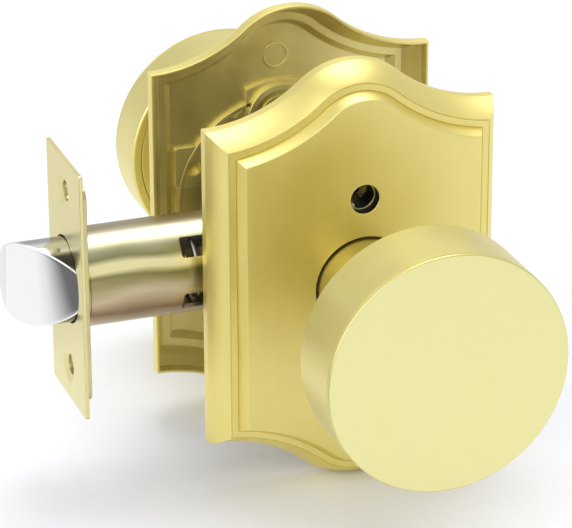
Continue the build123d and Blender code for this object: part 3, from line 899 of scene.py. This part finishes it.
def circle_through(first, middle, last):
    """The centre and radius of the circle through three points."""
    ab, ac = middle - first, last - first
    cross = 2 * (ab.x * ac.y - ab.y * ac.x)
    x = (ac.y * ab.length_squared - ab.y * ac.length_squared) / cross
    y = (ab.x * ac.length_squared - ac.x * ab.length_squared) / cross
    return first + Vector((x, y)), math.hypot(x, y)


def slant(u):
    """How far out the bolt's striking face is, at a place across the bolt."""
    heel = Vector((-PLATE_X - BOLT_HEEL, -BOLT_R))
    tip = Vector((-BOLT_TIP, BOLT_TIP_U))
    crest = Vector(((heel.x + tip.x) / 2 + 1.5, (heel.y + tip.y) / 2 - 1.2))
    centre, radius = circle_through(heel, crest, tip)
    if u > tip.y:
        gap = 0.7 * (u - tip.y)
    else:
        gap = centre.x + math.sqrt(radius**2 - (u - centre.y) ** 2) - tip.x
    blend = 0.7
    return tip.x + (gap - math.hypot(gap, blend)) / 2


def latch_bolt():
    """The round bolt with its convex slanted face and softened rim."""
    shape = Shape()
    angles = turns(144)
    inner = BOLT_R - BOLT_SOFT
    spokes, rim_steps = 22, 5
    rings = [shape.ring([(0.0, slant(0.0), 0.0)])]
    for k in range(1, spokes + 1):
        radius = inner * k / spokes
        rings.append(shape.ring([(radius * math.cos(t), slant(radius * math.cos(t)), radius * math.sin(t))
                                 for t in angles]))
    for k in range(1, rim_steps + 1):
        t = k / rim_steps
        points = []
        for a in angles:
            flat = Vector((inner, slant(inner * math.cos(a))))
            edge = Vector((BOLT_R, slant(BOLT_R * math.cos(a))))
            low = Vector((BOLT_R, edge.y - BOLT_SOFT))
            spot = flat * (1 - t) ** 2 + edge * 2 * t * (1 - t) + low * t * t
            points.append((spot.x * math.cos(a), spot.y, spot.x * math.sin(a)))
        rings.append(shape.ring(points))
    shape.strip(rings)
    rear = -BOLT_REAR
    barrel = rounded([(BOLT_R, rear + 1.0, 0), (BOLT_R, rear, 0.3), (TAIL_HOLE_R, rear, 0.1),
                      (TAIL_HOLE_R, TAIL_HOLE_END, 0), (0, TAIL_HOLE_END, 0)])
    # the barrel takes the chrome with painted reflections
    sides = shape.lathe(barrel, segments=len(angles), kinds=[1] * len(barrel))
    shape.bridge(rings[-1], sides[0], 1)
    made = shape.build("latch_bolt_head", latchward, (chrome, barrel_chrome_painted_reflections), 40.0)
    stand_for(made, "bolt", "latch_bolt")


# ---- the pieces ---------------------------------------------------------------------
for side, place in SIDES:
    rosette(side, place)
release_eyelet()
for side, place in SIDES:
    knob(side, place)
latch_plates()
latch_tube()
latch_bolt()

# finishes of the CAD nodes that stay
SLOT_FINISH = {"satin_brass": turned_brass, "yellow_zinc": flat_zinc, "chrome": chrome, "nylon": nylon,
               "spring_steel": spring_steel, "zinc_steel": zinc_steel}
DARK_NODES = ("privacy_rod",)
for entry in frame["record"]["subparts"]:
    look = black_oxide_and_painted_shade if entry["node"] in DARK_NODES else SLOT_FINISH[entry["material_slot"]]
    target = frame["nodes"][entry["node"]]
    target.data.materials.clear()
    target.data.materials.append(look)


# ---- floor, light and camera, in metres ---------------------------------------------
FLOOR_REACH = 3.0
FLOOR_GAP = 0.00005
CARD_GAP = 0.0002
WORLD_LIGHT = 0.77
LIGHTS = (("key", (0.14, 0.30, 1.0), (0.6, 0.6), 4.4),
          ("front", (-0.65, -0.85, 0.75), (0.9, 0.6), 2.7),
          ("side", (-0.95, -0.30, 0.30), (0.5, 0.5), 2.2))
CAMERA_AZIMUTH = -20.197
CAMERA_ELEVATION = 22.899
CAMERA_DISTANCE = 0.72484
CAMERA_LENS = 202.85
CAMERA_SHIFT = (-0.0575, -0.0485)


def link(name, data):
    """A new object in the scene."""
    made = bpy.data.objects.new(name, data)
    bpy.context.scene.collection.objects.link(made)
    return made


def aim(made, location, back):
    """Place a light or the camera, looking against a direction."""
    made.location = location
    made.rotation_mode = "QUATERNION"
    made.rotation_quaternion = (-back).to_track_quat("-Z", "Y")


def level_sheet(name, low, high, z):
    """A flat rectangle at one height, from its low corner to its high corner."""
    corners = [(low[X], low[Y], z), (high[X], low[Y], z), (high[X], high[Y], z), (low[X], high[Y], z)]
    mesh = bpy.data.meshes.new(name)
    mesh.from_pydata(corners, [], [(0, 1, 2, 3)])
    return link(name, mesh)


def studio():
    """The paper floor, an even white surround and three soft boxes."""
    reach = (FLOOR_REACH, FLOOR_REACH)
    floor = level_sheet("floor", (-FLOOR_REACH, -FLOOR_REACH), reach, cad_low.z - FLOOR_GAP)
    floor.data.materials.append(plastic("paper", (0.89, 0.905, 0.965), (0.90, 0.915, 0.975), 0.9))

    world = bpy.data.worlds.new("studio")
    bpy.context.scene.world = world
    world.use_nodes = True
    background = world.node_tree.nodes["Background"]
    background.inputs["Color"].default_value = (1.0, 1.0, 1.0, 1.0)
    background.inputs["Strength"].default_value = WORLD_LIGHT

    for name, location, size, power in LIGHTS:
        data = bpy.data.lights.new(name, "AREA")
        data.shape = "RECTANGLE"
        data.size, data.size_y = size
        data.energy = power
        aim(link(name, data), location, Vector(location))


def reflection_card(name, low, high, fade, tones):
    """A grey card just above the floor, seen only in reflections.

    Its tone changes along Y within the fade, by (position, tone) stops."""
    card = level_sheet(name, low, high, cad_low.z + CARD_GAP)
    made = bpy.data.materials.new(name)
    made.use_nodes = True
    tree = made.node_tree
    tree.nodes.remove(tree.nodes["Principled BSDF"])
    where = add(tree, "ShaderNodeTexCoord").outputs["Object"]
    along = add(tree, "ShaderNodeSeparateXYZ", inputs={0: where}).outputs[Y]
    tone = ramp(tree, spread(tree, along, 0.0, 1.0, *fade), [(place, (grey,) * 3) for place, grey in tones])
    glow = add(tree, "ShaderNodeEmission", inputs={"Color": tone, "Strength": 1.0})
    tree.links.new(glow.outputs[0], tree.nodes["Material Output"].inputs["Surface"])
    card.data.materials.append(made)
    card.visible_camera = False
    card.visible_diffuse = False
    card.visible_shadow = False


def camera():
    """The camera that shows the set from its front left, from above."""
    data = bpy.data.cameras.new("camera")
    data.lens = CAMERA_LENS
    data.sensor_width = 36.0
    data.shift_x, data.shift_y = CAMERA_SHIFT
    data.clip_start = 0.01
    data.clip_end = 20.0
    azimuth, elevation = math.radians(CAMERA_AZIMUTH), math.radians(CAMERA_ELEVATION)
    back = Vector((math.sin(azimuth) * math.cos(elevation), -math.cos(azimuth) * math.cos(elevation),
                   math.sin(elevation)))
    made = link("camera", data)
    aim(made, back * CAMERA_DISTANCE, back)
    bpy.context.scene.camera = made


studio()
reflection_card("front_left_card", (-0.30, -0.34), (-0.085, 0.06), (-0.20, 0.04),
                [(0.0, 0.10), (0.50, 0.16), (0.64, 0.85), (0.72, 1.0)])
reflection_card("back_left_card", (-0.40, 0.065), (-0.07, 0.45), (0.065, 0.40), [(0.0, 0.90), (1.0, 0.96)])
camera()
bpy.context.scene.view_settings.view_transform = "Standard"
